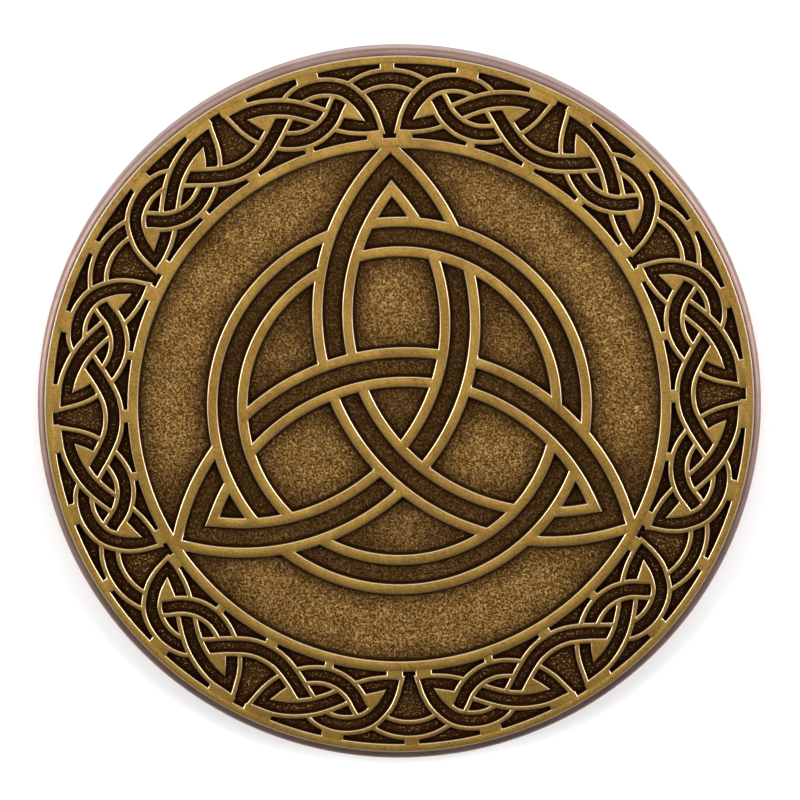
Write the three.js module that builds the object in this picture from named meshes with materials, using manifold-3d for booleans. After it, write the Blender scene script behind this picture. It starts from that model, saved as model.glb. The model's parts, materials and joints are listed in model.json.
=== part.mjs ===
// Challenge coin: one struck round with a three-leaf knot woven through a circle, inside a band of
// endless plaitwork. The reverse is left plain. Millimetres, +Z up, the coin lying flat on z = 0.
import * as THREE from 'three';
import { mergeVertices } from 'three/addons/utils/BufferGeometryUtils.js';
import Module from 'manifold-3d';

const wasm = await Module();
wasm.setup();

// Driving dimensions (mm)
const coinRadius = 20; // widest part of the edge
const coinThickness = 2; // over the raised lines of both faces
const reliefHeight = 0.35; // raised lines above the sunk grounds
const groundThickness = 0.1; // textured skin of each sunk ground
const edgeRounding = 0.38; // how far the edge rounds in to the flat of the rim
const rimWidth = 0.46; // flat of the outer rim
const ringRadius = 15.04; // outside of the ring around the middle
const ringWidth = 0.59;
const borderChannel = 0.64; // hollow of the border strand
const borderWall = 0.26; // raised line on each side of it
const centreChannel = 1.08; // hollow of the strands in the middle
const centreWall = 0.58;
const circleRadius = 9.52; // centre line of the woven circle
const leafHalfWidth = 3.52; // centre line of a leaf, at its widest, from the leaf's own axis
const leafTipInset = 1.02; // centre line's tip, inside the ring

// Derived sizes
const faceRadius = coinRadius - edgeRounding;
const borderRadius = faceRadius - rimWidth;
const fieldRadius = ringRadius - ringWidth;
const reliefFloor = coinThickness - reliefHeight;
const planchetTop = reliefFloor - groundThickness;
const borderWidth = borderRadius - ringRadius;

// Fineness of the faceting
const roundSegments = 72;
const edgeSteps = 3;
const borderStepsPerInterval = 1.15;
const centreStepDegrees = 6;
const seamTolerance = 0.002;

const repeats = 6; // plait units in the border
const leaves = 3;
const degree = Math.PI / 180;
const unitAngle = 360 / repeats;
const hiddenLength = 1.65; // length of strand out of sight at a dive, in strand half widths

// ---------- points and outlines in the plane of the face ----------

// Angles run clockwise from 12 o'clock.
function polar(angle, radius) {
  return new THREE.Vector2(radius * Math.sin(angle * degree), radius * Math.cos(angle * degree));
}

function turned(outline, angle) {
  const centre = new THREE.Vector2();
  return outline.map((point) => point.clone().rotateAround(centre, -angle * degree));
}

function mirrored(outline) {
  return outline.map((point) => new THREE.Vector2(-point.x, point.y)).reverse();
}

// Points beside a line, a fixed distance to its left.
function rail(line, distance) {
  return line.map((point, i) => {
    const before = line[Math.max(i - 1, 0)];
    const after = line[Math.min(i + 1, line.length - 1)];
    const along = after.clone().sub(before).normalize();
    return point.clone().add(new THREE.Vector2(-along.y, along.x).multiplyScalar(distance));
  });
}

// Two rails joined at the sharp corner where their lines meet.
function mitredRail(first, second, distance) {
  const corner = second[0];
  const arriving = corner.clone().sub(first[first.length - 2]).normalize();
  const leaving = second[1].clone().sub(corner).normalize();
  const ahead = arriving.clone().add(leaving);
  const across = new THREE.Vector2(-ahead.y, ahead.x);
  const mitre = across.multiplyScalar(distance / (1 + arriving.dot(leaving)));
  const reach = mitre.length();
  const passesCorner = (point, sign) => {
    const offset = point.clone().sub(corner);
    return offset.length() < reach && sign * offset.dot(ahead) > 0;
  };
  return [
    ...rail(first, distance).slice(0, -1).filter((point) => !passesCorner(point, 1)),
    corner.clone().add(mitre),
    ...rail(second, distance).slice(1).filter((point) => !passesCorner(point, -1)),
  ];
}

// Outline of a strip along one line, or along two that meet at a corner.
function strip(lines, halfWidth) {
  const side = (distance) =>
    lines.length === 1 ? rail(lines[0], distance) : mitredRail(lines[0], lines[1], distance);
  return [...side(-halfWidth), ...side(halfWidth).reverse()];
}

function trimmedStart(line, length) {
  let left = length;
  let i = 0;
  while (left > line[i].distanceTo(line[i + 1])) {
    left -= line[i].distanceTo(line[i + 1]);
    i += 1;
  }
  const start = line[i].clone().lerp(line[i + 1], left / line[i].distanceTo(line[i + 1]));
  return [start, ...line.slice(i + 1)];
}

// The part of a strand that lies on top, between its two dives.
function onTop(lines, length) {
  const fromStart = [trimmedStart(lines[0], length), ...lines.slice(1)];
  const last = fromStart.pop();
  return [...fromStart, trimmedStart([...last].reverse(), length).reverse()];
}

// ---------- solids ----------

function toSolid(geometry) {
  geometry.deleteAttribute('normal');
  geometry.deleteAttribute('uv');
  const merged = mergeVertices(geometry);
  return new wasm.Manifold(
    new wasm.Mesh({
      numProp: 3,
      vertProperties: new Float32Array(merged.attributes.position.array),
      triVerts: new Uint32Array(merged.index.array),
    }),
  );
}

// Faces that lie in one plane are merged first, so that the seams of the joins go.
function toGeometry(solid) {
  const mesh = solid.asOriginal().simplify(seamTolerance).getMesh();
  const geometry = new THREE.BufferGeometry();
  geometry.setAttribute('position', new THREE.BufferAttribute(new Float32Array(mesh.vertProperties), 3));
  geometry.setIndex(new THREE.BufferAttribute(new Uint32Array(mesh.triVerts), 1));
  geometry.computeVertexNormals();
  return geometry;
}

// A flat outline raised from the ground of the upper face to its top.
function raised(outline) {
  const geometry = new THREE.ExtrudeGeometry(new THREE.Shape(outline), {
    depth: reliefHeight,
    bevelEnabled: false,
  });
  return toSolid(geometry.translate(0, 0, reliefFloor));
}

// A profile of [radius, height] pairs turned about the coin's axis.
function turnedProfile(profile) {
  const points = profile.map(([radius, height]) => new THREE.Vector2(radius, height));
  return new THREE.LatheGeometry(points, roundSegments).rotateX(Math.PI / 2);
}

function disc(radius, bottom, top) {
  return turnedProfile([[0, bottom], [radius, bottom], [radius, top], [0, top]]);
}

function washer(inner, outer, bottom, top) {
  return turnedProfile([[inner, bottom], [outer, bottom], [outer, top], [inner, top], [inner, bottom]]);
}

function joined(solids) {
  return solids.reduce((whole, solid) => whole.add(solid));
}

// Strands woven over and under: each is a hollow between two raised walls, and it dives under its
// neighbours at both of its ends. Fillings close the small areas that are solid metal.
function weave(strands, fillings, channel, wall) {
  const halfChannel = channel / 2;
  const halfStrand = halfChannel + wall;
  const hollows = strands.map((lines) => raised(strip(lines, halfChannel)));
  const walls = strands.map((lines, i) => raised(strip(lines, halfStrand)).subtract(hollows[i]));
  const overpasses = strands.map((lines) =>
    raised(strip(onTop(lines, hiddenLength * halfStrand), halfChannel)));
  const solidAreas = fillings.map((outline) => raised(outline));
  const metal = solidAreas.length
    ? joined(walls).add(joined(solidAreas).subtract(joined(hollows)))
    : joined(walls);
  return metal.subtract(joined(overpasses));
}

// ---------- the border plait ----------

// A place in the border: clockwise degrees from the unit's axis, and the share of the way from the
// ring out to the rim.
function inBorder([angle, share]) {
  return polar(angle, ringRadius + share * borderWidth);
}

// Part of a smooth line through border places, between two of those places.
function stretch(places, from, to) {
  const curve = new THREE.SplineCurve(places.map(inBorder));
  const steps = Math.round((to - from) * borderStepsPerInterval);
  return Array.from({ length: steps + 1 }, (_, i) =>
    curve.getPoint((from + ((to - from) * i) / steps) / (places.length - 1)));
}

// The strand of half a unit, in three smooth runs between its sharp corners.
const bridgeRun = [
  [33.5, 0.77], [30, 0.808], [26.5, 0.772], [23, 0.655], [21.1, 0.556], [19, 0.354], [16.2, 0.228],
  [13, 0.189], [9.8, 0.24], [7, 0.359], [5.2, 0.488], [4, 0.646], [3.3, 0.816],
];
const slantRun = [
  [3.3, 0.816], [6, 0.803], [9, 0.743], [12, 0.65], [15, 0.517], [18.7, 0.342], [22, 0.235],
  [25, 0.192], [26.45, 0.189],
];
const archRun = [
  [26.45, 0.189], [26, 0.31], [24.9, 0.481], [22.6, 0.677], [20, 0.772], [17, 0.806], [14, 0.767],
  [11.9, 0.665], [9.75, 0.529], [7, 0.367], [3.5, 0.228], [0, 0.187], [-3.5, 0.228],
];
// Where each run dives under or passes the unit's axis, as positions in its list.
const bridgeTop = 1;
const bridgeDive = 3;
const loopDive = 9;
const slantDive = 5;
const archDive = 7;
const cradleBottom = 11;

const bridgeHalf = stretch(bridgeRun, bridgeTop, bridgeDive);
const cradleHalf = stretch(archRun, archDive, cradleBottom);
const unitAxisTurn = (line) => turned(mirrored(line), unitAngle);

function borderStrands() {
  const bridge = [[...unitAxisTurn(bridgeHalf), ...bridgeHalf.slice(1)]];
  const cradle = [[...cradleHalf, ...mirrored(cradleHalf).slice(1)]];
  const loop = [stretch(bridgeRun, bridgeDive, loopDive)];
  const slant = [
    stretch(bridgeRun, loopDive, bridgeRun.length - 1),
    stretch(slantRun, 0, slantDive),
  ];
  const arch = [stretch(slantRun, slantDive, slantRun.length - 1), stretch(archRun, 0, archDive)];
  const paired = [loop, slant, arch];
  return [bridge, cradle, ...paired, ...paired.map((lines) => lines.map(mirrored).reverse())];
}

// The two solid triangles of half a unit, between a corner of the strand and two crossings.
function borderFillings() {
  const beside = [bridgeRun[bridgeRun.length - 1], archRun[archDive], bridgeRun[loopDive]];
  const below = [archRun[0], bridgeRun[bridgeDive], slantRun[slantDive]];
  const half = [beside, below].map((places) => places.map(inBorder));
  return [...half, ...half.map(mirrored)];
}

// Webs that tie the plait to the rim and the ring: middle angle, half width in degrees, and the
// share at the strand's centre line.
const rimWebs = [[30, 1.2, 0.808], [16.6, 1.85, 0.806], [3.4, 2.45, 0.816]];
const ringWebs = [[0, 1.4, 0.187], [13, 0.95, 0.189], [26.95, 1.7, 0.189]];

function web(angle, halfAngle, innerRadius, outerRadius) {
  const sides = [-halfAngle, 0, halfAngle].map((offset) => angle + offset);
  return [
    ...sides.map((side) => polar(side, innerRadius)),
    ...sides.reverse().map((side) => polar(side, outerRadius)),
  ];
}

function borderWebs() {
  const wallMiddle = (borderChannel + borderWall) / 2;
  const outer = rimWebs.map(([angle, half, share]) =>
    web(angle, half, ringRadius + share * borderWidth + wallMiddle, borderRadius + borderWall));
  const inner = ringWebs.map(([angle, half, share]) =>
    web(angle, half, ringRadius - borderWall, ringRadius + share * borderWidth - wallMiddle));
  const both = [...outer, ...inner];
  return [...both, ...both.map(mirrored)];
}

// A bridge stands over each leaf's tip and each gap between them, so the units lie half a unit round.
function borderKnot() {
  const turns = Array.from({ length: repeats }, (_, i) => i * unitAngle + unitAngle / 2);
  const around = (outlines) => turns.flatMap((turn) => outlines.map((outline) => turned(outline, turn)));
  const strands = turns.flatMap((turn) =>
    borderStrands().map((lines) => lines.map((line) => turned(line, turn))));
  const plait = weave(strands, around(borderFillings()), borderChannel, borderWall);
  const webs = joined(around(borderWebs()).map(raised));
  const band = toSolid(washer(ringRadius, borderRadius, reliefFloor, coinThickness));
  return toGeometry(plait.add(webs).intersect(band));
}

// ---------- the knot in the middle ----------

// Each leaf strand is an arc from one tip to the next. Its middle stands off the coin's centre by
// the distance that puts the tips and the leaves' widest parts where the named sizes say.
const tipReach = fieldRadius - leafTipInset;
const spread = tipReach + Math.sqrt(3) * leafHalfWidth;
const leafOffset = 2 * (spread - Math.sqrt(spread ** 2 - tipReach ** 2 + leafHalfWidth ** 2));
const leafRadius = (Math.sqrt(3) / 2) * leafOffset + leafHalfWidth;

// Angle on the woven circle, either side of a leaf's tip, at which that leaf's strands cross it.
const crossingCosine =
  (circleRadius ** 2 + leafOffset ** 2 - leafRadius ** 2) / (2 * circleRadius * leafOffset);
const third = 360 / leaves;
const circleCrossing = Math.acos(crossingCosine) / degree - third / 2;

function arc(middle, from, to) {
  const start = from.clone().sub(middle);
  const end = to.clone().sub(middle);
  const sweep = Math.atan2(start.cross(end), start.dot(end));
  const steps = Math.ceil(Math.abs(sweep) / (centreStepDegrees * degree));
  return Array.from({ length: steps + 1 }, (_, i) =>
    from.clone().rotateAround(middle, (sweep * i) / steps));
}

// One third of the middle: the strand from where it dives under the circle, over one crossing and
// under the next, then over the circle and round a leaf's tip; and the circle's own third.
function centreThird() {
  const middle = polar(-third / 2, leafOffset);
  const nextMiddle = polar(-third / 2 - third, leafOffset);
  const entry = polar(circleCrossing, circleRadius);
  const innerCrossing = polar(180, tipReach - leafOffset);
  const tip = polar(-third, tipReach);
  const nextEntry = polar(circleCrossing - third, circleRadius);
  const inside = [arc(middle, entry, innerCrossing)];
  const roundTip = [arc(middle, innerCrossing, tip), arc(nextMiddle, tip, nextEntry)];
  const circleStart = polar(-circleCrossing, circleRadius);
  const circleEnd = polar(third - circleCrossing, circleRadius);
  const circle = [arc(new THREE.Vector2(), circleStart, circleEnd)];
  return [inside, roundTip, circle];
}

function centreKnot() {
  const turns = Array.from({ length: leaves }, (_, i) => i * third);
  const strands = turns.flatMap((turn) =>
    centreThird().map((lines) => lines.map((line) => turned(line, turn))));
  const knot = weave(strands, [], centreChannel, centreWall);
  return toGeometry(knot.intersect(toSolid(disc(fieldRadius, reliefFloor, coinThickness))));
}

// ---------- rims, grounds and the planchet ----------

// The rim's outside rounds over from the flat of the face to the widest part of the edge.
function rim() {
  const rounding = Array.from({ length: edgeSteps + 1 }, (_, i) => {
    const angle = (i / edgeSteps) * (Math.PI / 2);
    return [
      faceRadius + edgeRounding * Math.cos(angle),
      reliefFloor + reliefHeight * Math.sin(angle),
    ];
  });
  return turnedProfile([
    [borderRadius, planchetTop],
    [coinRadius, planchetTop],
    ...rounding,
    [borderRadius, coinThickness],
    [borderRadius, planchetTop],
  ]);
}

// What both faces have, made for the upper one.
const faceParts = {
  rim: rim(),
  border_ground: washer(ringRadius, borderRadius, planchetTop, reliefFloor),
  inner_ring: washer(fieldRadius, ringRadius, planchetTop, coinThickness),
  centre_field: disc(fieldRadius, planchetTop, reliefFloor),
};

// ---------- the coin ----------

const finishes = {
  rim: { color: 0xb08a4c, roughness: 0.38, metalness: 1 },
  border_knot: { color: 0xb48e50, roughness: 0.35, metalness: 1 },
  border_ground: { color: 0x2a1c12, roughness: 0.75, metalness: 0.6 },
  inner_ring: { color: 0xb08a4c, roughness: 0.38, metalness: 1 },
  centre_knot: { color: 0xb48e50, roughness: 0.35, metalness: 1 },
  centre_field: { color: 0x7d5f33, roughness: 0.6, metalness: 0.9 },
  planchet: { color: 0x8f7468, roughness: 0.4, metalness: 1 },
};

function piece(name, geometry, finish) {
  const mesh = new THREE.Mesh(geometry, new THREE.MeshStandardMaterial(finishes[finish]));
  mesh.name = name;
  return mesh;
}

// The lower face is the upper one given a half turn about the coin's 12 to 6 o'clock line.
function turnedOver(geometry) {
  return geometry.clone().rotateY(Math.PI).translate(0, 0, coinThickness);
}

const coin = new THREE.Group();
coin.add(piece('planchet', disc(coinRadius, coinThickness - planchetTop, planchetTop), 'planchet'));
coin.add(piece('obverse_border_knot', borderKnot(), 'border_knot'));
coin.add(piece('obverse_centre_knot', centreKnot(), 'centre_knot'));
for (const [name, geometry] of Object.entries(faceParts)) {
  coin.add(piece(`obverse_${name}`, geometry, name));
  coin.add(piece(`reverse_${name}`, turnedOver(geometry), name));
}

export default coin;
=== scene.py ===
"""The finished look of a challenge coin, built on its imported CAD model.

Raised lines, rims and edge are rebuilt smooth, with drafted flanks and rounded shoulders, and the
sunk grounds get their grain. Everything is in metres, in the frame of the CAD model: the coin lies
flat on z = 0 with 12 o'clock towards +Y.
"""

import json
import math

import bmesh
import bpy
import numpy as np
from bpy.props import FloatProperty, FloatVectorProperty, IntProperty, PointerProperty
from mathutils import Matrix, Vector
from mathutils.bvhtree import BVHTree

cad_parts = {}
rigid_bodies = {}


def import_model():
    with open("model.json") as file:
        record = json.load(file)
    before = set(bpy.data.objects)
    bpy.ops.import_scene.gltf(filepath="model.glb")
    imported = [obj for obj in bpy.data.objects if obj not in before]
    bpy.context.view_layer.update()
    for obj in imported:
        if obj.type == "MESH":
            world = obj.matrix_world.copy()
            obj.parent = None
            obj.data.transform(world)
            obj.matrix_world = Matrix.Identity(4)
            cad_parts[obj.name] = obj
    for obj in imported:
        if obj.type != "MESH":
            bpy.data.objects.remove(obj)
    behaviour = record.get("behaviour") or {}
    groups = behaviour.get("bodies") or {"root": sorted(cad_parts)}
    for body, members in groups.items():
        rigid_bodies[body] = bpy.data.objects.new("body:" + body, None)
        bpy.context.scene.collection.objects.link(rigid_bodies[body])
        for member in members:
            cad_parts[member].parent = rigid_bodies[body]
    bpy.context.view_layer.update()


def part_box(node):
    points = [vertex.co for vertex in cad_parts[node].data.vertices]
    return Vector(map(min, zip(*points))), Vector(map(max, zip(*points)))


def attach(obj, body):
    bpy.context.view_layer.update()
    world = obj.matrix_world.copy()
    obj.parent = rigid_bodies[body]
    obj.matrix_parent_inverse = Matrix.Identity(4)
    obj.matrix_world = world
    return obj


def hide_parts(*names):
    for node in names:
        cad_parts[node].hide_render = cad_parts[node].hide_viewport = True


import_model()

bl_info = {
    "name": "Challenge Coin",
    "version": (1, 0, 0),
    "blender": (4, 5, 0),
    "location": "View3D > Sidebar > Coin",
    "description": "Builds a struck coin with a woven knot inside a band of plaitwork",
    "category": "Add Mesh",
}

MM = 0.001
FACES = ("obverse", "reverse")


def outer_radius(node):
    """Outside radius of a round CAD node."""
    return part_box(node)[1].x


# Sizes of the CAD model
coin_radius = outer_radius("planchet")
border_radius = outer_radius("obverse_border_ground")
ring_radius = outer_radius("obverse_inner_ring")
field_radius = outer_radius("obverse_centre_field")
coin_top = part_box("obverse_rim")[1].z
ground_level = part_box("obverse_border_ground")[1].z
skin_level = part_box("obverse_border_ground")[0].z
body_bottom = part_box("planchet")[0].z
border_width = border_radius - ring_radius

# Fineness
ROUND_SEGMENTS = 540
SHOULDER_STEPS = 4
BORDER_STEPS_PER_INTERVAL = 4
CENTRE_STEP_DEGREES = 1.5
SHARP_ANGLE = math.radians(50)  # corners sharper than this keep a hard edge
BODY_LEVELS = 7  # rows of points up the straight edge
GRAIN_LIMIT = 2  # tallest and deepest grain, in typical heights

# Stage, in metres
FLOOR_HALF_WIDTH = 2.0
FLOOR_THICKNESS = 5 * MM
MAIN_LIGHT_PLACE = (0, 0.62, 0.48)
MAIN_LIGHT_SIZE = (1.1, 0.5)
SIDE_LIGHT_PLACE = (0.62, 0.12, 0.4)  # the right one, which the left one mirrors
SIDE_LIGHT_SIZE = (0.6, 0.4)
NEAR_LIGHT_PLACE = (0, -0.006, 0.16)
NEAR_LIGHT_SIZE = (0.09, 0.024)
CAMERA_PLACE = (0, 0.099, 0.5115)
CAMERA_TARGET = (0.04 * MM, 0.36 * MM, coin_top)
CAMERA_ROLL = 2.1  # degrees clockwise
CAMERA_LENS = 422.5  # millimetres
CAMERA_SENSOR_WIDTH = 36  # millimetres
CAMERA_NEAREST = 0.01
CAMERA_FURTHEST = 10

UNITS = 6  # plait units round the border
LEAVES = 3
UNIT_ANGLE = 360 / UNITS
THIRD = 360 / LEAVES
HIDDEN_LENGTH = 1.65  # length of strand out of sight at a dive, in strand half widths


# ---------- settings ----------


def size_setting(name, description, millimetres):
    """A size that the user can change, given in millimetres and kept in metres."""
    return FloatProperty(
        name=name, description=description, default=millimetres * MM, unit="LENGTH", precision=6
    )


def colour_setting(name, description, default):
    """A colour that the user can change."""
    return FloatVectorProperty(name=name, description=description, default=default, subtype="COLOR")


def power_setting(name, description, default):
    """A lamp's power that the user can change."""
    return FloatProperty(name=name, description=description, default=default, unit="POWER")


class CoinBorderSizes(bpy.types.PropertyGroup):
    """Sizes of the plait in the border."""

    channel: size_setting("Channel", "Width of the strand's hollow", 0.64)
    wall: size_setting("Wall", "Width of the raised line beside it", 0.26)
    shoulder: size_setting("Shoulder", "Rounding of the line's upper edges", 0.06)
    draft: size_setting("Draft", "How far the flanks spread at the ground", 0.04)


class CoinCentreSizes(bpy.types.PropertyGroup):
    """Sizes of the knot in the middle."""

    channel: size_setting("Channel", "Width of the strand's hollow", 1.08)
    wall: size_setting("Wall", "Width of the raised line beside it", 0.58)
    shoulder: size_setting("Shoulder", "Rounding of the line's upper edges", 0.07)
    draft: size_setting("Draft", "How far the flanks spread at the ground", 0.06)
    circle_radius: size_setting("Circle", "Centre line of the woven circle", 9.52)
    leaf_half_width: size_setting(
        "Leaf half width", "A leaf's centre line at its widest, from the leaf's axis", 3.52
    )
    leaf_tip_inset: size_setting("Leaf tip inset", "From the ring to the tip of a leaf's centre line", 1.02)


class CoinEdgeSizes(bpy.types.PropertyGroup):
    """Sizes of the rim and the edge."""

    rounding: size_setting("Rounding", "How far the edge rounds in to the flat of the rim", 0.38)
    lip: size_setting("Lip", "Step between the rounded edge and the flat of the rim", 0.06)


class CoinGrainSizes(bpy.types.PropertyGroup):
    """Grain of the sunk grounds."""

    spacing: size_setting("Spacing", "Distance between grains", 0.12)
    depth: size_setting("Depth", "Typical height of a grain", 0.008)
    seed: IntProperty(name="Seed", description="Seed of the random grain", default=7)
    shelter: size_setting("Shelter", "How far off a wall still shelters the patina from wear", 0.96)


class CoinFinishes(bpy.types.PropertyGroup):
    """Colours of the coin's finishes."""

    brass: colour_setting("Brass", "Polished raised metal", (0.43, 0.262, 0.06))
    # Worn edges: wear on the lines' upper edges, brightened into a painted highlight of light catching them
    worn_and_highlit: colour_setting("Worn edges", "Bright metal on the lines' upper edges", (0.62, 0.52, 0.35))
    tarnish: colour_setting("Tarnish", "Browner patches on the raised metal", (0.22, 0.115, 0.025))
    patina: colour_setting("Patina", "Dark antiquing in the sunk grounds", (0.022, 0.0065, 0.002))
    # Glint: specks of bare metal, brightened into painted glints that stand in for the sparkle of the grain
    glint: colour_setting("Glint", "Sparks of bare metal in the grounds", (0.8, 0.55, 0.22))
    sand: colour_setting("Sand", "Sandblasted metal in the open field", (0.42, 0.23, 0.06))
    edge: colour_setting("Edge", "Metal of the coin's edge", (0.27, 0.176, 0.152))


class CoinStage(bpy.types.PropertyGroup):
    """Floor, lights and camera."""

    floor: colour_setting("Floor", "Floor colour", (0.94, 0.94, 0.94))
    main_power: power_setting("Main light", "Light from the 12 o'clock side", 4.2)
    side_power: power_setting("Side lights", "Light from left and right", 6.5)
    near_power: power_setting("Near light", "Small soft light close above the coin", 0.034)
    surround: FloatProperty(name="Surround", description="Brightness of the pale surround", default=0.11)


# ---------- lines on the face ----------
# A line is an array of points. Angles run clockwise from 12 o'clock.


def polar(angle, radius):
    """The point at an angle and a distance from the axis."""
    turn = math.radians(angle)
    return np.array((radius * math.sin(turn), radius * math.cos(turn)))


def turned(line, angle):
    """The line turned clockwise about the axis."""
    turn = math.radians(angle)
    spin = np.array(((math.cos(turn), -math.sin(turn)), (math.sin(turn), math.cos(turn))))
    return line @ spin


def mirrored(line):
    """The line mirrored across the 12 to 6 o'clock line, with its points in the opposite order."""
    return (line * (-1, 1))[::-1]


def unit(vectors):
    """Vectors of the same directions, each with length 1."""
    return vectors / np.linalg.norm(vectors, axis=-1, keepdims=True)


def leftwards(vectors):
    """Vectors turned a quarter turn to their left."""
    return np.stack((-vectors[..., 1], vectors[..., 0]), axis=-1)


def rail(line, distance):
    """Points beside a line, a fixed distance to its left."""
    ends = np.vstack((line[:1], line, line[-1:]))
    return line + distance * leftwards(unit(ends[2:] - ends[:-2]))


def mitred_rail(first, second, distance, clearance):
    """Two rails that meet at the sharp corner of their lines, with no point near the corner's mitre."""
    corner = second[0]
    arriving = unit(corner - first[-2])
    leaving = unit(second[1] - corner)
    mitre = corner + leftwards(arriving + leaving) * distance / (1 + arriving @ leaving)
    reach = 2 * np.linalg.norm(mitre - corner) + clearance

    def short_of_mitre(points, direction):
        near = np.linalg.norm(points - corner, axis=1) < reach
        past = (points - mitre) @ direction > -clearance
        return points[~(near & past)]

    before = short_of_mitre(rail(first, distance)[:-1], arriving)
    after = short_of_mitre(rail(second, distance)[1:], -leaving)
    return np.vstack((before, mitre[None], after))


def beside(lines, distance, clearance):
    """The rail of a strand that has one line, or two that meet at a corner."""
    if len(lines) == 1:
        return rail(lines[0], distance)
    return mitred_rail(*lines, distance, clearance)


def trimmed_start(line, length):
    """The line without a stretch of the given length at its start."""
    reached = np.concatenate(([0], np.cumsum(np.linalg.norm(np.diff(line, axis=0), axis=1))))
    first = int(np.searchsorted(reached, length, side="right"))
    start = [np.interp(length, reached, line[:, axis]) for axis in range(2)]
    return np.vstack((start, line[first:]))


def on_top(lines, length):
    """The part of a strand that lies on top, between its two dives."""
    trimmed = [trimmed_start(lines[0], length), *lines[1:]]
    trimmed[-1] = trimmed_start(trimmed[-1][::-1], length)[::-1]
    return trimmed


def arc(middle, start, end):
    """Points on a circle round the middle, the short way from start to end."""
    a, b = start - middle, end - middle
    sweep = math.atan2(a[0] * b[1] - a[1] * b[0], a @ b)
    steps = math.ceil(abs(math.degrees(sweep)) / CENTRE_STEP_DEGREES)
    return np.array([middle + turned(a, -math.degrees(sweep) * i / steps) for i in range(steps + 1)])


def in_border(angle, share):
    """A border place: clockwise degrees, and the share of the way from the ring out to the rim."""
    return polar(angle, ring_radius + share * border_width)


def stretch(places, start, end):
    """Part of a smooth line through border places, between two of those places."""
    points = np.array([in_border(*place) for place in places])
    points = np.vstack((points[:1], points, points[-1:]))
    found = []
    for position in np.linspace(start, end, round((end - start) * BORDER_STEPS_PER_INTERVAL) + 1):
        i = min(int(position), len(places) - 2)
        t = position - i
        a, b, c, d = points[i : i + 4]
        out, arrive = (c - a) / 2, (d - b) / 2
        cubic = 2 * b - 2 * c + out + arrive
        square = 3 * c - 3 * b - 2 * out - arrive
        found.append(cubic * t**3 + square * t**2 + out * t + b)
    return np.array(found)


# ---------- solids ----------


def solid(name, vertices, faces):
    """A closed mesh object with its faces turned outwards."""
    mesh = bpy.data.meshes.new(name)
    mesh.from_pydata([tuple(v) for v in vertices], [], faces)
    shape = bmesh.new()
    shape.from_mesh(mesh)
    bmesh.ops.recalc_face_normals(shape, faces=shape.faces)
    shape.to_mesh(mesh)
    shape.free()
    made = bpy.data.objects.new(name, mesh)
    bpy.context.scene.collection.objects.link(made)
    return made


def loop_faces(sections, width, closed):
    """Four-sided faces between sections of points, each section a closed loop of the given width."""
    last = sections if closed else sections - 1
    return [
        (
            i * width + j,
            i * width + (j + 1) % width,
            (i + 1) % sections * width + (j + 1) % width,
            (i + 1) % sections * width + j,
        )
        for i in range(last)
        for j in range(width)
    ]


def swept(name, path, profile):
    """A profile of (offset, height) pairs carried along a path on the face, mitred at its corners."""
    steps = unit(np.diff(path, axis=0))
    arriving = np.vstack((steps[:1], steps))
    leaving = np.vstack((steps, steps[-1:]))
    across = leftwards(arriving + leaving) / (1 + (arriving * leaving).sum(axis=1))[:, None]
    offsets, heights = np.array(profile).T
    flat = path[:, None] + offsets[None, :, None] * across[:, None]
    points = np.dstack((flat, np.broadcast_to(heights, flat.shape[:2]))).reshape(-1, 3)
    width = len(profile)
    ends = [tuple(range(width)), tuple(range(len(points) - width, len(points)))]
    return solid(name, points, loop_faces(len(path), width, closed=False) + ends)


def prism(name, outline, bottom, top):
    """An outline on the face given straight sides between two heights."""
    count = len(outline)
    points = [(x, y, bottom) for x, y in outline] + [(x, y, top) for x, y in outline]
    ends = [tuple(range(count)), tuple(range(count, 2 * count))]
    sides = [(i, (i + 1) % count, (i + 1) % count + count, i + count) for i in range(count)]
    return solid(name, points, ends + sides)


def round_solid(name, profile):
    """A closed profile of (radius, height) pairs turned about the coin's axis."""
    angles = np.linspace(0, 2 * math.pi, ROUND_SEGMENTS, endpoint=False)
    points = [
        (radius * math.sin(angle), radius * math.cos(angle), height)
        for angle in angles
        for radius, height in profile
    ]
    return solid(name, points, loop_faces(ROUND_SEGMENTS, len(profile), closed=True))


def discard(objects):
    """Removes objects and their meshes."""
    for spent in objects:
        mesh = spent.data
        bpy.data.objects.remove(spent)
        bpy.data.meshes.remove(mesh)


def combined(base, operation, tools):
    """The base after one Boolean step with all the tools, which stay as they are."""
    group = bpy.data.collections.new("tools")
    for tool in tools:
        group.objects.link(tool)
    step = base.modifiers.new("step", "BOOLEAN")
    step.operation = operation
    step.solver = "MANIFOLD"
    step.operand_type = "COLLECTION"
    step.collection = group
    result = bpy.data.meshes.new_from_object(base.evaluated_get(bpy.context.evaluated_depsgraph_get()))
    base.modifiers.remove(step)
    bpy.data.collections.remove(group)
    spent = base.data
    base.data = result
    bpy.data.meshes.remove(spent)
    return base


def joined(solids):
    """All the solids in one: the first becomes it, and the rest are discarded."""
    whole = combined(solids[0], "UNION", solids[1:])
    discard(solids[1:])
    return whole


def rounded_side(half_width, sizes):
    """Right-hand half of a raised line's section, from its foot to its flat top."""
    middle, level = half_width - sizes.shoulder, coin_top - sizes.shoulder
    shoulder = [
        (middle + sizes.shoulder * math.cos(turn), level + sizes.shoulder * math.sin(turn))
        for turn in np.linspace(0, math.pi / 2, SHOULDER_STEPS + 1)
    ]
    return [(half_width + sizes.draft, skin_level), *shoulder]


def line_profile(half_width, sizes):
    """The whole section of a raised line."""
    right = rounded_side(half_width, sizes)
    return right + [(-offset, height) for offset, height in reversed(right)]


def hollow(lines, sizes):
    """A cutter along a strand, up to the middles of its walls."""
    middle = (sizes.channel + sizes.wall) / 2
    outline = np.vstack((beside(lines, -middle, sizes.wall), beside(lines, middle, sizes.wall)[::-1]))
    return prism("hollow", outline, skin_level - MM, coin_top + MM)


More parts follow.
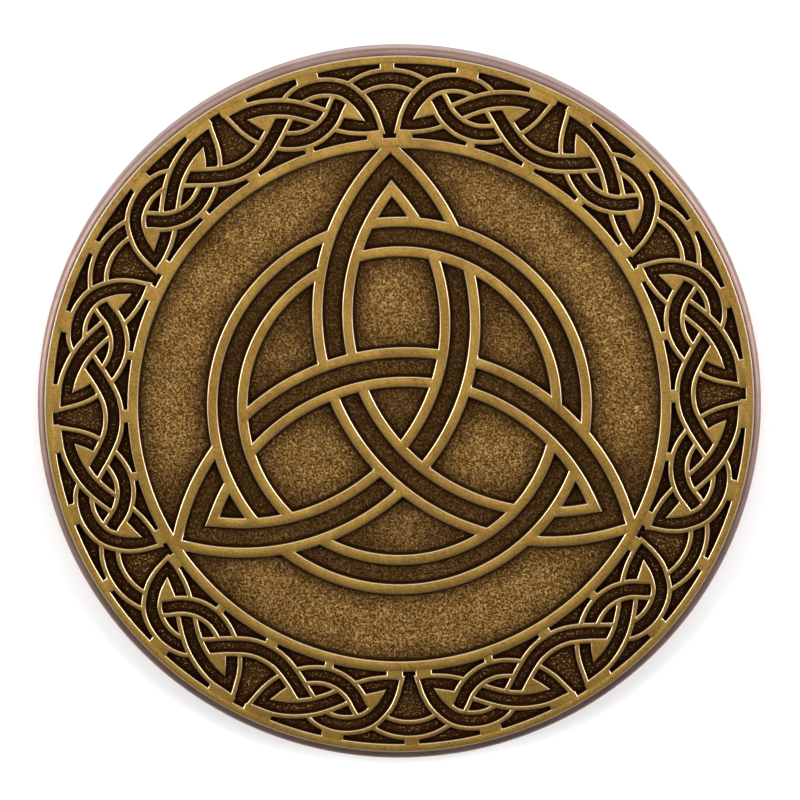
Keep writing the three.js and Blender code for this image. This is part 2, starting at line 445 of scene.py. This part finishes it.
def woven_walls(strands, others, sizes):
    """Raised walls beside each strand, cut away wherever another strand passes over them."""
    middle = (sizes.channel + sizes.wall) / 2
    half_strand = sizes.channel / 2 + sizes.wall
    profile = line_profile(sizes.wall / 2, sizes)
    hidden = HIDDEN_LENGTH * half_strand
    overpasses = [hollow(on_top(lines, hidden), sizes) for lines in [*strands, *others]]
    walls = []
    for number, lines in enumerate(strands):
        tools = [overpass for i, overpass in enumerate(overpasses) if i != number]
        for side in (-middle, middle):
            wall = swept("wall", beside(lines, side, sizes.wall), profile)
            walls.append(combined(wall, "DIFFERENCE", tools))
    discard(overpasses)
    return walls


def kept_between(knot, inner, outer):
    """Cuts away what lies further out than outer and, if there is an inner, nearer the axis than it."""
    far = 2 * coin_radius
    near = MM  # no knot that has an inner limit reaches this close to the axis
    spans = [(outer, far)] if inner is None else [(outer, far), (near, inner)]
    cutters = [
        round_solid("cutter", [(low, -MM), (high, -MM), (high, coin_top + MM), (low, coin_top + MM)])
        for low, high in spans
    ]
    combined(knot, "DIFFERENCE", cutters)
    discard(cutters)
    return knot


# ---------- finishing a piece ----------


def placed(made, node, slot):
    """Gives a piece its shading, its finish and its place in the frame."""
    if not made.data.polygons:
        raise RuntimeError(f"{node} came out empty")
    made.name = f"{node}_struck"
    made.data.name = made.name
    made.data.materials.clear()
    made.data.materials.append(finish(slot))
    made.data.shade_smooth()
    made.data.set_sharp_from_angle(angle=SHARP_ANGLE)
    even = made.modifiers.new("even_flats", "WEIGHTED_NORMAL")
    even.keep_sharp = True
    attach(made, "root")
    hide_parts(node)
    return made


def turned_over(made):
    """Gives a piece of the upper face its place on the lower one."""
    half_turn = Matrix.Rotation(math.pi, 4, "Y")
    made.data.transform(Matrix.Translation((0, 0, coin_top)) @ half_turn)
    return made


# ---------- finishes ----------


class Value:
    """An output of a shader node. Arithmetic on it adds Math nodes."""

    def __init__(self, shader, socket):
        self.shader = shader
        self.socket = socket

    def math(self, operation, first, second=0.0, clamp=False):
        settings = {"operation": operation, "use_clamp": clamp}
        return self.shader.node("ShaderNodeMath", settings, {0: first, 1: second})

    def __add__(self, other):
        return self.math("ADD", self, other)

    __radd__ = __add__

    def __sub__(self, other):
        return self.math("SUBTRACT", self, other)

    def __rsub__(self, other):
        return self.math("SUBTRACT", other, self)

    def __mul__(self, other):
        return self.math("MULTIPLY", self, other)

    __rmul__ = __mul__

    def size(self):
        return self.math("ABSOLUTE", self)

    def clamped(self):
        return self.math("ADD", self, 0.0, clamp=True)

    def between(self, low, high):
        """0 where the value is low, 1 where it is high, with a smooth step between."""
        return self.shader.node(
            "ShaderNodeMapRange",
            {"interpolation_type": "SMOOTHSTEP"},
            {"Value": self, "From Min": low, "From Max": high},
        )


class Shader:
    """A new material made of nodes. Its place is the place on the coin in millimetres."""

    def __init__(self, name):
        self.material = bpy.data.materials.new(name)
        self.material.use_nodes = True
        self.tree = self.material.node_tree
        self.tree.nodes.clear()
        metres = self.node("ShaderNodeTexCoord", {}, {}, "Object")
        self.place = self.vector_math("SCALE", {0: metres, "Scale": 1 / MM})

    def node(self, kind, settings, inputs, output=0):
        """Adds a node: its settings first, then the values or links of its inputs."""
        made = self.tree.nodes.new(kind)
        for setting, value in settings.items():
            setattr(made, setting, value)
        for key, value in inputs.items():
            if isinstance(value, Value):
                self.tree.links.new(value.socket, made.inputs[key])
            else:
                made.inputs[key].default_value = value
        return Value(self, made.outputs[output]) if made.outputs else None

    def vector_math(self, operation, inputs, output=0):
        return self.node("ShaderNodeVectorMath", {"operation": operation}, inputs, output)

    def from_axis(self):
        """Distance from the coin's axis in millimetres."""
        flat = self.vector_math("MULTIPLY", {0: self.place, 1: (1, 1, 0)})
        return self.vector_math("LENGTH", {0: flat}, "Value")

    def distance(self, attribute):
        """A distance stored with the mesh in metres, in millimetres."""
        return self.node("ShaderNodeAttribute", {"attribute_name": attribute}, {}, "Fac") * (1 / MM)

    def drawn_out(self, lengths, angle):
        """The place with its features drawn out by the lengths, along axes turned about +Z."""
        inputs = {"Vector": self.place, "Rotation": (0, 0, math.radians(angle)), "Scale": lengths}
        return self.node("ShaderNodeMapping", {"vector_type": "TEXTURE"}, inputs)

    def noise(self, per_mm, detail=2.0, roughness=0.5, place=None):
        """Noise from about 0.2 to 0.8 with so many features to a millimetre."""
        inputs = {"Vector": place or self.place, "Scale": per_mm, "Detail": detail, "Roughness": roughness}
        return self.node("ShaderNodeTexNoise", {"normalize": True}, inputs)

    def mixed(self, first, second, share):
        """The first colour, with the second in the given share."""
        both = [tone if isinstance(tone, Value) else (*tone, 1.0) for tone in (first, second)]
        inputs = {"Factor": share, 6: both[0], 7: both[1]}
        return self.node("ShaderNodeMix", {"data_type": "RGBA"}, inputs, 2)

    def bumped(self, height, depth, strength=1.0):
        return self.node("ShaderNodeBump", {}, {"Height": height, "Distance": depth, "Strength": strength})

    def finished(self, **sockets):
        """Ends the material with a metal surface that has these sockets."""
        inputs = {key.replace("_", " "): value for key, value in sockets.items()}
        surface = self.node("ShaderNodeBsdfPrincipled", {}, inputs)
        self.node("ShaderNodeOutputMaterial", {}, {"Surface": surface})
        return self.material


def raised_metal(colours):
    """Brushed brass with browner patches, worn upper edges brightened by a painted highlight, and antiquing
    left on the flanks.
    """
    shader = Shader("raised_metal_finish")
    face_middle = coin_top / 2 / MM
    flat_end = (coin_radius - bpy.context.scene.coin_edge.rounding) / MM
    height = shader.node("ShaderNodeSeparateXYZ", {}, {"Vector": shader.place}, "Z")
    depth = face_middle - (height - face_middle).size()  # below the nearer face, in millimetres
    from_axis = shader.from_axis()

    patches = shader.noise(0.35, detail=4.0, roughness=0.6).between(0.4, 0.66)
    brushing = shader.noise(3.0, detail=3.0, place=shader.drawn_out((1.0, 8.0, 1.0), 24))
    specks = shader.noise(7.0, detail=3.0, roughness=0.7)
    # The shoulder mask marks the lines' rounded upper edges, where the worn-edge colour lays a painted
    # highlight
    shoulder = depth.between(0.0, 0.006) * (1 - depth.between(0.03, 0.06))
    flank = depth.between(0.05, 0.16)
    # Painted highlight along the outer corner of the rim's flat, in the worn-edge colour
    rim_corner_highlight = from_axis.between(flat_end - 0.1, flat_end - 0.05)
    outside = from_axis.between(flat_end - 0.02, flat_end + 0.01)
    crease = outside * (1 - from_axis.between(flat_end + 0.03, flat_end + 0.08))

    tarnished = patches * 0.4 + specks.between(0.44, 0.6) * 0.45 + (brushing - 0.5) * 0.9 + 0.1
    worn_and_highlit = shader.mixed(colours.brass, colours.tarnish, tarnished.clamped())
    # Painted highlight: the worn-edge colour on the shoulders and on the rim's corner
    highlighted = shader.mixed(worn_and_highlit, colours.worn_and_highlit, (shoulder + rim_corner_highlight).clamped() * 0.85)
    antiqued = shader.mixed(highlighted, colours.patina, flank * 0.95)
    rounded = shader.mixed(edge_colour(shader, colours), colours.patina, crease * 0.45)
    return shader.finished(
        Base_Color=shader.mixed(antiqued, rounded, outside),
        Metallic=1.0,
        Roughness=0.34 + patches * 0.06 + brushing * 0.1 + flank * 0.2 - shoulder * 0.08,
        Normal=shader.bumped(brushing * 0.6 + specks, 0.008 * MM, 0.6),
    )


def dark_ground(colours):
    """Black-brown antiquing over fine grain, with specks of bare metal painted as bright glints."""
    shader = Shader("dark_ground_finish")
    grain = shader.noise(9.0, detail=3.0, roughness=0.7).between(0.4, 0.62)
    # Specks of bare metal, painted as bright glints
    glint_specks = shader.noise(9.0, detail=1.0).between(0.58, 0.68)
    clouds = shader.noise(0.8, detail=3.0).between(0.35, 0.65)
    beside_wall = shader.distance("wall_distance").between(0.04, 0.25)
    openness = shader.distance("wall_openness").between(0.05, 0.45)
    bare = beside_wall * (0.03 + grain * (clouds * 0.08 + openness * 0.3))
    dulled = shader.mixed(colours.patina, colours.sand, bare)
    return shader.finished(
        Base_Color=shader.mixed(dulled, colours.glint, glint_specks * beside_wall * 0.3),
        Metallic=1.0,
        Roughness=0.4 + grain * 0.25,
        Normal=shader.bumped(grain + glint_specks, 0.03 * MM, 0.9),
    )


def sanded_ground(colours):
    """Sandblasted metal with painted glints in the open, darker beside the raised lines."""
    shader = Shader("sanded_ground_finish")
    grain = shader.noise(8.0, detail=3.0, roughness=0.75).between(0.43, 0.6)
    # Specks of bare metal, painted as bright glints that stand in for the sandblast's sparkle
    glint_specks = shader.noise(10.0, detail=1.0, place=shader.drawn_out((1.0, 1.4, 1.0), 35))
    glint_specks = glint_specks.between(0.56, 0.68)
    clouds = shader.noise(0.6, detail=3.0).between(0.3, 0.7)
    beside_wall = shader.distance("wall_distance").between(0.0, 0.22)
    openness = shader.distance("wall_openness").between(0.0, 1.2)
    clean = beside_wall * (openness * 0.75 + 0.25) * (clouds * 0.25 + 0.75)
    sanded = shader.mixed(colours.patina, colours.sand, clean * (grain * 0.84 + 0.16))
    return shader.finished(
        Base_Color=shader.mixed(sanded, colours.glint, glint_specks * clean * 0.5),
        Metallic=1.0,
        Roughness=0.36 + grain * 0.12,
        Normal=shader.bumped(grain + glint_specks * 0.5, 0.04 * MM, 1.0),
    )


def edge_colour(shader, colours):
    """The edge's metal with a little tarnish."""
    clouds = shader.noise(0.5, detail=4.0, roughness=0.6).between(0.4, 0.7)
    specks = shader.noise(5.0, detail=3.0, roughness=0.7).between(0.55, 0.75)
    return shader.mixed(colours.edge, colours.patina, clouds * 0.15 + specks * 0.25)


def edge_metal(colours):
    """Smooth, slightly tarnished metal round the coin's edge."""
    shader = Shader("edge_metal_finish")
    wear = shader.noise(2.5, detail=4.0, roughness=0.7)
    return shader.finished(
        Base_Color=edge_colour(shader, colours),
        Metallic=1.0,
        Roughness=0.32 + wear * 0.2,
        Normal=shader.bumped(wear, 0.006 * MM, 0.5),
    )


def floor_finish(pale):
    """Matt floor with a faint mottle."""
    shader = Shader("studio_floor")
    clouds = shader.noise(0.02, detail=2.0)
    paler = tuple(min(1.0, channel * 1.04) for channel in pale)
    return shader.finished(Base_Color=shader.mixed(pale, paler, clouds), Roughness=0.9)


FINISHES = {
    "raised_metal": raised_metal,
    "dark_ground": dark_ground,
    "sanded_ground": sanded_ground,
    "edge_metal": edge_metal,
}


def finish(slot):
    """The material of a record slot, made at its first use."""
    made = bpy.data.materials.get(f"{slot}_finish")
    return made or FINISHES[slot](bpy.context.scene.coin_finishes)


# ---------- the border plait ----------

# Places of half a unit's strand: clockwise degrees from the unit's axis, and the share of the way
# from the ring out to the rim. The three runs meet at sharp corners.
BRIDGE_RUN = [
    (33.5, 0.77), (30, 0.808), (26.5, 0.772), (23, 0.655), (21.1, 0.556), (19, 0.354), (16.2, 0.228),
    (13, 0.189), (9.8, 0.24), (7, 0.359), (5.2, 0.488), (4, 0.646), (3.3, 0.816),
]
SLANT_RUN = [
    (3.3, 0.816), (6, 0.803), (9, 0.743), (12, 0.65), (15, 0.517), (18.7, 0.342), (22, 0.235),
    (25, 0.192), (26.45, 0.189),
]
ARCH_RUN = [
    (26.45, 0.189), (26, 0.31), (24.9, 0.481), (22.6, 0.677), (20, 0.772), (17, 0.806), (14, 0.767),
    (11.9, 0.665), (9.75, 0.529), (7, 0.367), (3.5, 0.228), (0, 0.187), (-3.5, 0.228),
]
# Where each run dives under or passes the unit's axis, as positions in its list
BRIDGE_TOP = 1
BRIDGE_DIVE = 3
LOOP_DIVE = 9
SLANT_DIVE = 5
ARCH_DIVE = 7
CRADLE_BOTTOM = 11

# Webs that tie the plait to the rim and the ring: middle angle, half width in degrees, and the share
# at the strand's centre line
RIM_WEBS = [(30, 1.2, 0.808), (16.6, 1.85, 0.806), (3.4, 2.45, 0.816)]
RING_WEBS = [(0, 1.4, 0.187), (13, 0.95, 0.189), (26.95, 1.7, 0.189)]


def border_strands():
    """The strands of one unit, each as the one or two lines between its dives."""
    bridge_half = stretch(BRIDGE_RUN, BRIDGE_TOP, BRIDGE_DIVE)
    cradle_half = stretch(ARCH_RUN, ARCH_DIVE, CRADLE_BOTTOM)
    bridge = [np.vstack((turned(mirrored(bridge_half), UNIT_ANGLE), bridge_half[1:]))]
    cradle = [np.vstack((cradle_half, mirrored(cradle_half)[1:]))]
    loop = [stretch(BRIDGE_RUN, BRIDGE_DIVE, LOOP_DIVE)]
    slant = [stretch(BRIDGE_RUN, LOOP_DIVE, len(BRIDGE_RUN) - 1), stretch(SLANT_RUN, 0, SLANT_DIVE)]
    arch = [stretch(SLANT_RUN, SLANT_DIVE, len(SLANT_RUN) - 1), stretch(ARCH_RUN, 0, ARCH_DIVE)]
    paired = [loop, slant, arch]
    return [bridge, cradle, *paired, *([mirrored(line) for line in lines[::-1]] for lines in paired)]


def border_fillings(strands, sizes):
    """The unit's solid triangles, each between a corner of the strand and two crossings."""
    beside_tongue = (BRIDGE_RUN[-1], ARCH_RUN[ARCH_DIVE], BRIDGE_RUN[LOOP_DIVE])
    below_arch = (ARCH_RUN[0], BRIDGE_RUN[BRIDGE_DIVE], SLANT_RUN[SLANT_DIVE])
    hollows = [hollow(lines, sizes) for lines in strands]
    made = []
    for places in (beside_tongue, below_arch):
        half = np.array([in_border(*place) for place in places])
        made += [prism("filling", outline, skin_level, coin_top) for outline in (half, mirrored(half))]
    for filling in made:
        combined(filling, "DIFFERENCE", hollows)
    discard(hollows)
    return [filling for filling in made if filling.data.polygons]


def border_webs(sizes):
    """The unit's short ties, each a raised line across the gap to the rim or the ring."""
    made = []
    wall_middle = (sizes.channel + sizes.wall) / 2
    for webs, side, end in (
        (RIM_WEBS, 1, border_radius + sizes.wall),
        (RING_WEBS, -1, ring_radius - sizes.wall),
    ):
        for angle, half_angle, share in webs:
            start = ring_radius + share * border_width + side * wall_middle
            half_width = math.radians(half_angle) * (start + end) / 2
            for towards in (angle, -angle) if angle else (angle,):
                path = np.array((polar(towards, start), polar(towards, end)))
                made.append(swept("web", path, line_profile(half_width, sizes)))
    return made


class COIN_OT_border_knot(bpy.types.Operator):
    """Build the plaitwork of the border"""

    bl_idname = "coin.border_knot"
    bl_label = "Border Plait"

    def execute(self, context):
        sizes = context.scene.coin_border
        own = border_strands()
        neighbours = [
            [turned(line, side) for line in lines] for side in (-UNIT_ANGLE, UNIT_ANGLE) for lines in own
        ]
        walls = woven_walls(own, neighbours, sizes)
        fillings = border_fillings([*own, *neighbours], sizes)
        one_unit = joined([*walls, *fillings, *border_webs(sizes)])
        units = [one_unit]
        for number in range(1, UNITS):
            turned_unit = bpy.data.objects.new("unit", one_unit.data.copy())
            turned_unit.data.transform(Matrix.Rotation(math.radians(number * UNIT_ANGLE), 4, "Z"))
            context.scene.collection.objects.link(turned_unit)
            units.append(turned_unit)
        whole = joined(units)
        bridge_to_top = Matrix.Rotation(math.radians(UNIT_ANGLE / 2), 4, "Z")
        whole.data.transform(bridge_to_top)
        knot = kept_between(whole, ring_radius - sizes.shoulder, border_radius + sizes.shoulder)
        placed(knot, "obverse_border_knot", "raised_metal")
        return {"FINISHED"}


# ---------- the knot in the middle ----------


def centre_strands(sizes):
    """Three leaves on equal arcs, and the circle woven through them."""
    tip_reach = field_radius - sizes.leaf_tip_inset
    spread = tip_reach + math.sqrt(3) * sizes.leaf_half_width
    offset = 2 * (spread - math.sqrt(spread**2 - tip_reach**2 + sizes.leaf_half_width**2))
    leaf_radius = math.sqrt(3) / 2 * offset + sizes.leaf_half_width
    circle = sizes.circle_radius
    cosine = (circle**2 + offset**2 - leaf_radius**2) / (2 * circle * offset)
    crossing = math.degrees(math.acos(cosine)) - THIRD / 2

    middle = polar(-THIRD / 2, offset)
    next_middle = polar(-THIRD * 1.5, offset)
    inner_crossing = polar(180, tip_reach - offset)
    tip = polar(-THIRD, tip_reach)
    inside = [arc(middle, polar(crossing, circle), inner_crossing)]
    round_tip = [arc(middle, inner_crossing, tip), arc(next_middle, tip, polar(crossing - THIRD, circle))]
    around = [arc(np.zeros(2), polar(-crossing, circle), polar(THIRD - crossing, circle))]
    return [
        [turned(line, number * THIRD) for line in lines]
        for number in range(LEAVES)
        for lines in (inside, round_tip, around)
    ]


class COIN_OT_centre_knot(bpy.types.Operator):
    """Build the three-leaf knot woven through a circle"""

    bl_idname = "coin.centre_knot"
    bl_label = "Centre Knot"

    def execute(self, context):
        sizes = context.scene.coin_centre
        knot = joined(woven_walls(centre_strands(sizes), [], sizes))
        knot = kept_between(knot, None, field_radius + sizes.shoulder)
        placed(knot, "obverse_centre_knot", "raised_metal")
        return {"FINISHED"}


# ---------- rims, edge and grounds ----------


class COIN_OT_rims(bpy.types.Operator):
    """Build the outer rim and the ring of both faces"""

    bl_idname = "coin.rims"
    bl_label = "Rims and Rings"

    def rim_profile(self, sizes, edge):
        """From the foot inside the rim over its flat and lip, and down the rounded edge."""
        side = rounded_side(sizes.wall, sizes)
        inner = [(border_radius - offset + sizes.wall, height) for offset, height in side]
        turns = np.linspace(math.pi / 2, 0, 3 * SHOULDER_STEPS + 1)
        corner = 0.5 * edge.lip
        corner_start = coin_radius - edge.rounding - corner
        lip_corner = [
            (corner_start + corner * math.cos(turn), coin_top - corner * (1 - math.sin(turn)))
            for turn in turns[::3]
        ]
        reach = edge.rounding - 0.25 * edge.lip
        rise = coin_top - edge.lip - ground_level
        rounding = [
            (coin_radius - reach * (1 - math.cos(turn)), ground_level + rise * math.sin(turn))
            for turn in turns
        ]
        return [*inner, *lip_corner, *rounding, (coin_radius, skin_level)]

    def execute(self, context):
        edge = context.scene.coin_edge
        border = context.scene.coin_border
        centre = context.scene.coin_centre
        outer_side = rounded_side(border.wall, border)
        inner_side = rounded_side(centre.wall, centre)
        outside = [(ring_radius + offset - border.wall, height) for offset, height in outer_side]
        inside = [(field_radius - offset + centre.wall, height) for offset, height in inner_side]
        for face in FACES:
            for part, profile in (
                ("rim", self.rim_profile(border, edge)),
                ("inner_ring", [*inside, *reversed(outside)]),
            ):
                made = round_solid(part, profile)
                if face == "reverse":
                    turned_over(made)
                placed(made, f"{face}_{part}", "raised_metal")
        return {"FINISHED"}


class COIN_OT_edge(bpy.types.Operator):
    """Build the body of the coin, whose edge shows"""

    bl_idname = "coin.edge"
    bl_label = "Body and Edge"

    def execute(self, context):
        # The grounds cover the middle of both faces, so the body is left open there.
        hidden_hole = 0.5 * coin_radius
        levels = np.linspace(body_bottom, skin_level, BODY_LEVELS)
        outside = [(coin_radius, level) for level in levels]
        body = round_solid("body", [(hidden_hole, body_bottom), *outside, (hidden_hole, skin_level)])
        placed(body, "planchet", "edge_metal")
        return {"FINISHED"}


def averaged(grid, reach):
    """Each value of a grid averaged with its neighbours. The grid's opposite sides count as joined."""
    for axis in range(2):
        grid = sum(np.roll(grid, step, axis) for step in range(-reach, reach + 1)) / (2 * reach + 1)
    return grid


def measure_walls(made, walls, shape, reach):
    """Stores how far each point of a ground is from the raised walls, and how open the ground is there.

    The ground's first points are a grid of the given shape. Its openness at a point is the average of
    the distances within reach, in grid steps.
    """
    trees = []
    for wall in walls:
        places = [vertex.co for vertex in wall.data.vertices]
        trees.append(BVHTree.FromPolygons(places, [face.vertices for face in wall.data.polygons]))
    distances = np.array(
        [min(tree.find_nearest(vertex.co)[3] for tree in trees) for vertex in made.data.vertices]
    )
    gridded = shape[0] * shape[1]
    openness = np.zeros(len(distances))
    openness[:gridded] = averaged(distances[:gridded].reshape(shape), reach).ravel()
    for name, values in (("wall_distance", distances), ("wall_openness", openness)):
        made.data.attributes.new(name, "FLOAT", "POINT").data.foreach_set("value", values)


class COIN_OT_grounds(bpy.types.Operator):
    """Build the grained grounds of both faces"""

    bl_idname = "coin.grounds"
    bl_label = "Grounds"

    def grained(self, shape, sizes, random):
        """Heights of the grain over a grid of points."""
        return ground_level + sizes.depth * np.clip(random.normal(size=shape), -GRAIN_LIMIT, GRAIN_LIMIT)

    def border_ground(self, sizes, random):
        """A washer with a fine grid on top, and the shape of its grid."""
        across = round(border_width / sizes.spacing)
        around = round(math.pi * (ring_radius + border_radius) / sizes.spacing)
        radii = np.linspace(ring_radius, border_radius, across + 1)
        heights = self.grained((around, across + 1), sizes, random)
        points = []
        for angle, row in zip(np.linspace(0, 360, around, endpoint=False), heights):
            ray = [tuple(polar(angle, radius)) for radius in radii]
            points += [(*place, height) for place, height in zip(ray, row)]
            points += [(*ray[-1], skin_level), (*ray[0], skin_level)]
        shape = (around, across + 3)
        return solid("border_ground", points, loop_faces(*shape, closed=True)), shape

    def centre_field(self, sizes, random):
        """A disc with a fine grid on top, square inside and round at its outside, and its grid's shape."""
        half = round(field_radius * math.sqrt(math.pi) / 2 / sizes.spacing)
        count = 2 * half + 1
        steps = np.linspace(-1, 1, count)
        x, y = (grid.ravel() for grid in np.meshgrid(steps, steps))
        swap = np.abs(y) > np.abs(x)
        long, short = np.where(swap, y, x), np.where(swap, x, y)
        turn = math.pi / 4 * short / np.where(long == 0, 1, long)
        a, b = long * np.cos(turn), long * np.sin(turn)
        x, y = field_radius * np.where(swap, b, a), field_radius * np.where(swap, a, b)
        top = np.column_stack((x, y, self.grained(count * count, sizes, random)))
        edge = [
            *range(count),
            *range(2 * count - 1, count * count, count),
            *range(count * count - 2, count * (count - 1) - 1, -1),
            *range(count * (count - 2), 0, -count),
        ]
        foot = top[edge] * (1, 1, 0) + (0, 0, skin_level)
        start = len(top)
        faces = [
            (i * count + j, i * count + j + 1, (i + 1) * count + j + 1, (i + 1) * count + j)
            for i in range(count - 1)
            for j in range(count - 1)
        ]
        faces += [
            (edge[i], start + i, start + (i + 1) % len(edge), edge[(i + 1) % len(edge)])
            for i in range(len(edge))
        ]
        faces.append(tuple(range(start, start + len(edge))))
        return solid("centre_field", np.vstack((top, foot)), faces), (count, count)

    def execute(self, context):
        sizes = context.scene.coin_grain
        random = np.random.default_rng(sizes.seed)
        reach = round(sizes.shelter / sizes.spacing)
        metal = finish("raised_metal").name
        raised = [made for made in context.scene.objects if metal in made.material_slots]
        for face in FACES:
            walls = [made for made in raised if made.name.startswith(face)]
            for part, slot, ground in (
                ("border_ground", "dark_ground", self.border_ground),
                ("centre_field", "sanded_ground", self.centre_field),
            ):
                made, shape = ground(sizes, random)
                if face == "reverse":
                    turned_over(made)
                measure_walls(made, walls, shape, reach)
                placed(made, f"{face}_{part}", slot)
        return {"FINISHED"}


# ---------- stage ----------


class COIN_OT_stage(bpy.types.Operator):
    """Set the floor, the lights and the camera"""

    bl_idname = "coin.stage"
    bl_label = "Stage"

    def aimed(self, made, position, target, roll=0.0):
        """Places an object to look at the target, with +Y up and then rolled clockwise in degrees."""
        ahead = (Vector(target) - Vector(position)).normalized()
        right = ahead.cross(Vector((0, 1, 0))).normalized()
        axes = Matrix((right, right.cross(ahead), -ahead)).transposed().to_4x4()
        rolled = axes @ Matrix.Rotation(math.radians(-roll), 4, "Z")
        made.matrix_world = Matrix.Translation(position) @ rolled
        bpy.context.scene.collection.objects.link(made)

    def light(self, name, position, size, power):
        lamp = bpy.data.lights.new(name, "AREA")
        lamp.shape = "RECTANGLE"
        lamp.size, lamp.size_y = size
        lamp.energy = power
        self.aimed(bpy.data.objects.new(name, lamp), position, (0, 0, coin_top))

    def execute(self, context):
        settings = context.scene.coin_stage
        corners = FLOOR_HALF_WIDTH * np.array(((-1, -1), (1, -1), (1, 1), (-1, 1)))
        floor = prism("floor", corners, -FLOOR_THICKNESS, 0)
        floor.data.materials.append(floor_finish(settings.floor))

        world = bpy.data.worlds.new("surround")
        world.use_nodes = True
        background = world.node_tree.nodes["Background"]
        background.inputs["Color"].default_value = (1, 1, 1, 1)
        background.inputs["Strength"].default_value = settings.surround
        context.scene.world = world
        context.scene.view_settings.view_transform = "Standard"

        self.light("main_light", MAIN_LIGHT_PLACE, MAIN_LIGHT_SIZE, settings.main_power)
        outwards, *onwards = SIDE_LIGHT_PLACE
        for name, side in (("left_light", -1), ("right_light", 1)):
            self.light(name, (side * outwards, *onwards), SIDE_LIGHT_SIZE, settings.side_power)
        self.light("near_light", NEAR_LIGHT_PLACE, NEAR_LIGHT_SIZE, settings.near_power)

        camera = bpy.data.cameras.new("camera")
        camera.sensor_width = CAMERA_SENSOR_WIDTH
        camera.lens = CAMERA_LENS
        camera.clip_start, camera.clip_end = CAMERA_NEAREST, CAMERA_FURTHEST
        view = bpy.data.objects.new("camera", camera)
        self.aimed(view, CAMERA_PLACE, CAMERA_TARGET, roll=CAMERA_ROLL)
        context.scene.camera = view
        return {"FINISHED"}


# ---------- the add-on ----------


class COIN_PT_panel(bpy.types.Panel):
    """The coin's sizes, finishes and pieces"""

    bl_idname = "COIN_PT_panel"
    bl_label = "Challenge Coin"
    bl_space_type = "VIEW_3D"
    bl_region_type = "UI"
    bl_category = "Coin"

    def draw(self, context):
        for name, group in GROUPS.items():
            box = self.layout.box()
            for setting in group.__annotations__:
                box.prop(getattr(context.scene, name), setting)
        for operator in OPERATORS:
            self.layout.operator(operator.bl_idname)


GROUPS = {
    "coin_border": CoinBorderSizes,
    "coin_centre": CoinCentreSizes,
    "coin_edge": CoinEdgeSizes,
    "coin_grain": CoinGrainSizes,
    "coin_finishes": CoinFinishes,
    "coin_stage": CoinStage,
}
OPERATORS = (
    COIN_OT_border_knot,
    COIN_OT_centre_knot,
    COIN_OT_rims,
    COIN_OT_edge,
    COIN_OT_grounds,
    COIN_OT_stage,
)


def register():
    for made in (*GROUPS.values(), *OPERATORS, COIN_PT_panel):
        bpy.utils.register_class(made)
    for name, group in GROUPS.items():
        setattr(bpy.types.Scene, name, PointerProperty(type=group))


def unregister():
    for name in GROUPS:
        delattr(bpy.types.Scene, name)
    for made in reversed((*GROUPS.values(), *OPERATORS, COIN_PT_panel)):
        bpy.utils.unregister_class(made)


def main():
    register()
    bpy.ops.coin.border_knot()
    bpy.ops.coin.centre_knot()
    bpy.ops.coin.rims()
    bpy.ops.coin.edge()
    bpy.ops.coin.grounds()
    bpy.ops.coin.stage()


if __name__ == "__main__":
    main()
